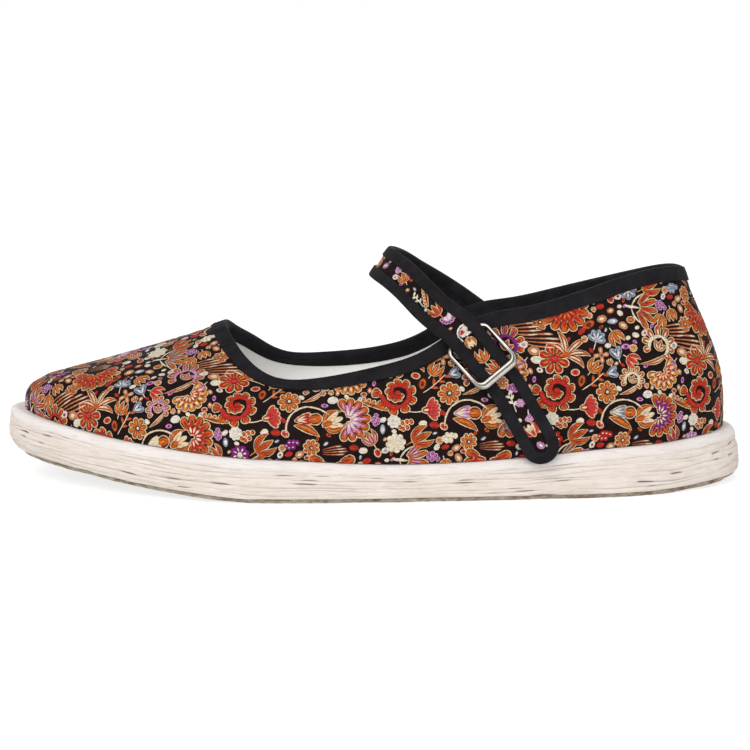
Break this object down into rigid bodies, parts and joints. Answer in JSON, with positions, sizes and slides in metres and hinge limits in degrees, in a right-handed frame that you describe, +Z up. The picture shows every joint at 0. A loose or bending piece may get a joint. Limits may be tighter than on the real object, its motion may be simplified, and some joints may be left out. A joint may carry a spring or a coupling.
{
  "type": "cloth shoe",
  "caption": "Left slip-on cloth shoe with a floral upper, black bound collar, instep strap through a slide buckle and a flat layered cotton sole.",
  "frame": {"origin": "on the floor under the shoe, midway along the sole and on the straight line from the back of the heel", "axes": "+X from heel to toe, +Y to the outer side of the foot, +Z up"},
  "size_m": [0.2571, 0.089, 0.0811],
  "materials": {
    "floor_cotton": "matt worn cotton",
    "layered_cotton": "matt pasted cotton plies",
    "wrapped_cotton": "matt wrapped cotton strip",
    "lining_cotton": "plain weave cotton",
    "floral_cloth": "woven floral cloth with raised silky figures",
    "black_tape": "matt fine weave tape",
    "nickel": "polished nickel"
  },
  "bodies": {
    "root": {"outsole": "floor_cotton", "layered_sole": "layered_cotton", "sole_top_layer": "wrapped_cotton", "insole": "lining_cotton", "upper": "floral_cloth", "collar_binding": "black_tape", "strap": "floral_cloth", "strap_binding": "black_tape", "buckle_frame": "nickel"}
  },
  "joints": []
}
